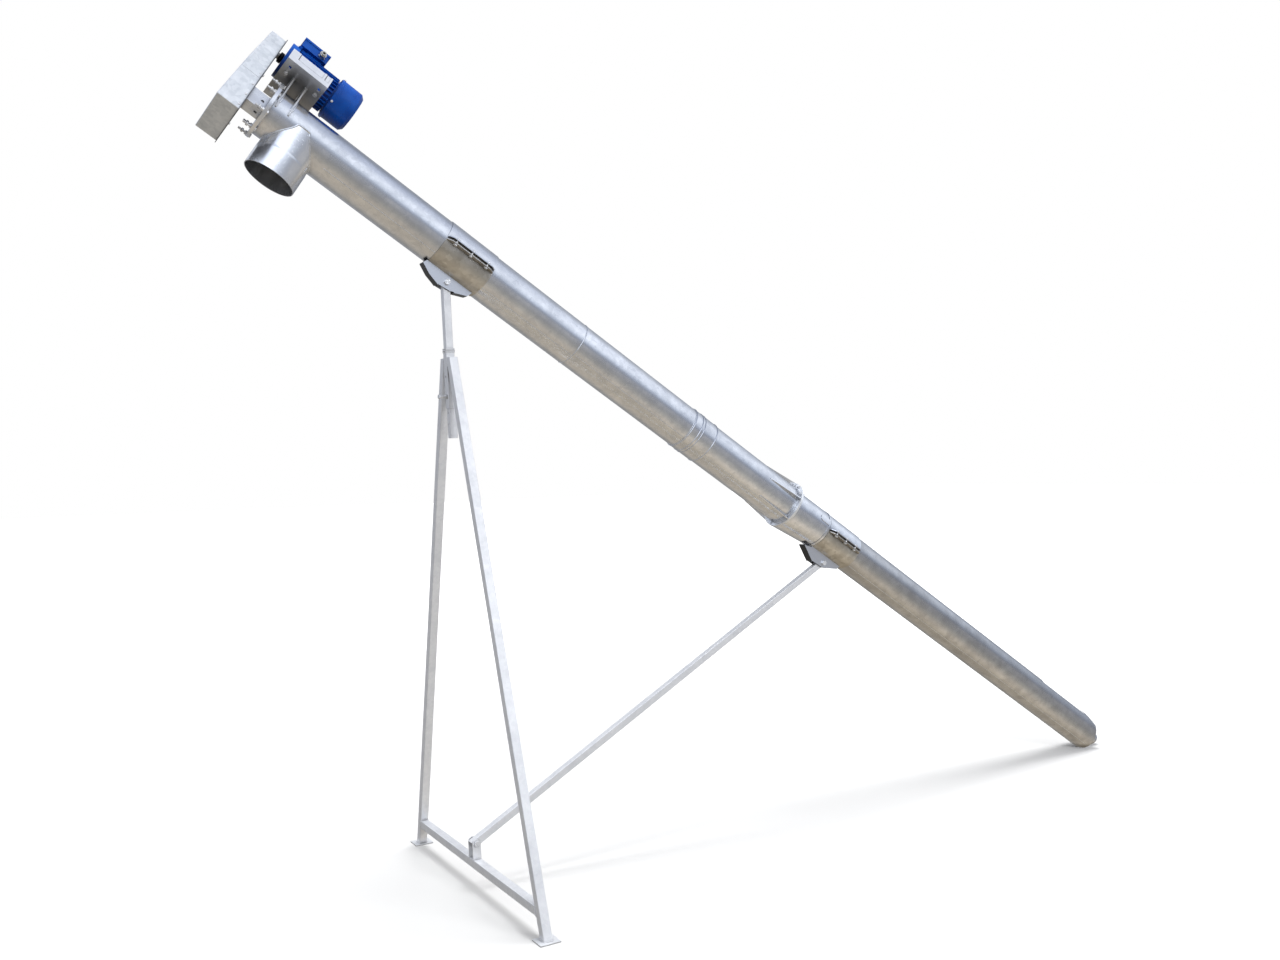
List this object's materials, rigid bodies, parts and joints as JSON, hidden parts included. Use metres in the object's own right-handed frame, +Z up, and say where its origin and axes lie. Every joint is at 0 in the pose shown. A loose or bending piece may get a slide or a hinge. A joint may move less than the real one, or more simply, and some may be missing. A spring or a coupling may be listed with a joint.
{
  "type": "grain auger",
  "caption": "Inclined tube auger with a belt-driven screw, downward discharge spout and open intake, carried on an adjustable A-frame stand with a brace.",
  "frame": {"origin": "on the floor under the middle of the bounding box", "axes": "+Z up, X along the plan of the tube with the intake towards +X and the head towards -X, Y across it"},
  "size_m": [5.5239, 1.494, 3.7812],
  "materials": {
    "galvanised_tube": "galvanised, fine spangle",
    "galvanised_sheet": "galvanised sheet, bright spangle",
    "galvanised_frame": "galvanised square tube",
    "raw_steel": "turned steel",
    "screw_steel": "rolled steel, worn bright at the rim",
    "zinc_bolts": "zinc plated",
    "pulley_iron": "turned cast iron",
    "belt_rubber": "matt",
    "motor_blue": "gloss enamel on a casting",
    "fan_plastic": "matt",
    "bearing_steel": "ground",
    "gland_metal": "nickel plated"
  },
  "bodies": {
    "stand": {"near_leg": "galvanised_frame", "far_leg": "galvanised_frame", "base_beam": "galvanised_frame", "foot_plates": "galvanised_frame", "height_sleeve": "galvanised_frame", "clamp_screw": "zinc_bolts", "clevis": "galvanised_frame", "clevis_pin": "zinc_bolts"},
    "post": {"inner_post": "galvanised_frame"},
    "brace": {"brace": "galvanised_frame"},
    "screw": {"screw_shaft": "raw_steel", "screw_flights": "screw_steel", "screw_pulley": "pulley_iron"},
    "rotor": {"motor_rotor": "raw_steel", "motor_fan": "fan_plastic", "motor_pulley": "pulley_iron"},
    "auger_tube": {"bearing_pedestal": "galvanised_tube", "bearing_plate": "galvanised_tube", "cable_gland": "gland_metal", "connecting_tube": "galvanised_tube", "coupling_band": "galvanised_tube", "discharge_spout": "galvanised_sheet", "drive_belts": "belt_rubber", "flange_fins": "galvanised_tube", "guard_back_plate": "galvanised_sheet", "guard_cover": "galvanised_sheet", "guard_screws": "zinc_bolts", "head_flange": "galvanised_tube", "head_flange_bolts": "zinc_bolts", "head_tube": "galvanised_tube", "lower_bracket": "galvanised_tube", "lower_collar_bolts": "zinc_bolts", "lower_collar_bottom": "galvanised_tube", "lower_collar_top": "galvanised_tube", "lower_pivot_bolt": "zinc_bolts", "lower_tube": "galvanised_tube", "mid_tube": "galvanised_tube", "motor_base_plate": "galvanised_sheet", "motor_bearings": "bearing_steel", "motor_body": "motor_blue", "motor_fan_cover": "motor_blue", "motor_foot_bolts": "zinc_bolts", "motor_front_shield": "motor_blue", "motor_mount_ribs": "galvanised_sheet", "motor_rear_shield": "motor_blue", "reducer_cone": "galvanised_tube", "reducer_flange": "galvanised_tube", "reducer_flange_bolts": "zinc_bolts", "reducer_straps": "galvanised_tube", "screw_bearings": "bearing_steel", "tail_bearing_housing": "raw_steel", "tail_plate": "galvanised_tube", "terminal_box": "motor_blue", "terminal_box_lid": "motor_blue", "upper_bracket": "galvanised_tube", "upper_collar_bolts": "zinc_bolts", "upper_collar_bottom": "galvanised_tube", "upper_collar_top": "galvanised_tube", "upper_pivot_bolt": "zinc_bolts", "upper_tube_flange": "galvanised_tube"}
  },
  "joints": [
    {"name": "height_adjust", "type": "slide", "parent": "stand", "child": "post", "axis": [-0.0295, 0, 0.9996], "range_m": [-0.15, 0.15]},
    {"name": "tube_tilt", "type": "hinge", "parent": "post", "child": "auger_tube", "pos_m": [-1.71892, 0, 2.7528], "axis": [0, 1, 0], "range_deg": [-2.2, 2.2]},
    {"name": "brace_pivot", "type": "hinge", "parent": "stand", "child": "brace", "pos_m": [-1.64366, 0, 0.20191], "axis": [0, 1, 0], "range_deg": [-5, 5]},
    {"name": "screw_spin", "type": "hinge", "parent": "auger_tube", "child": "screw", "pos_m": [2.6313, 0, 0.1043], "axis": [-0.8396, 0, 0.5432], "continuous": true},
    {"name": "motor_spin", "type": "hinge", "parent": "auger_tube", "child": "rotor", "pos_m": [-2.26371, 0.0704, 3.58394], "axis": [-0.8396, 0, 0.5432], "continuous": true}
  ],
  "couplings": [
    {"joint": "tube_tilt", "follows": "height_adjust", "rad_per_m": 0.19846},
    {"joint": "brace_pivot", "follows": "height_adjust", "rad_per_m": -0.27151},
    {"joint": "motor_spin", "follows": "screw_spin", "ratio": 3.0513}
  ]
}
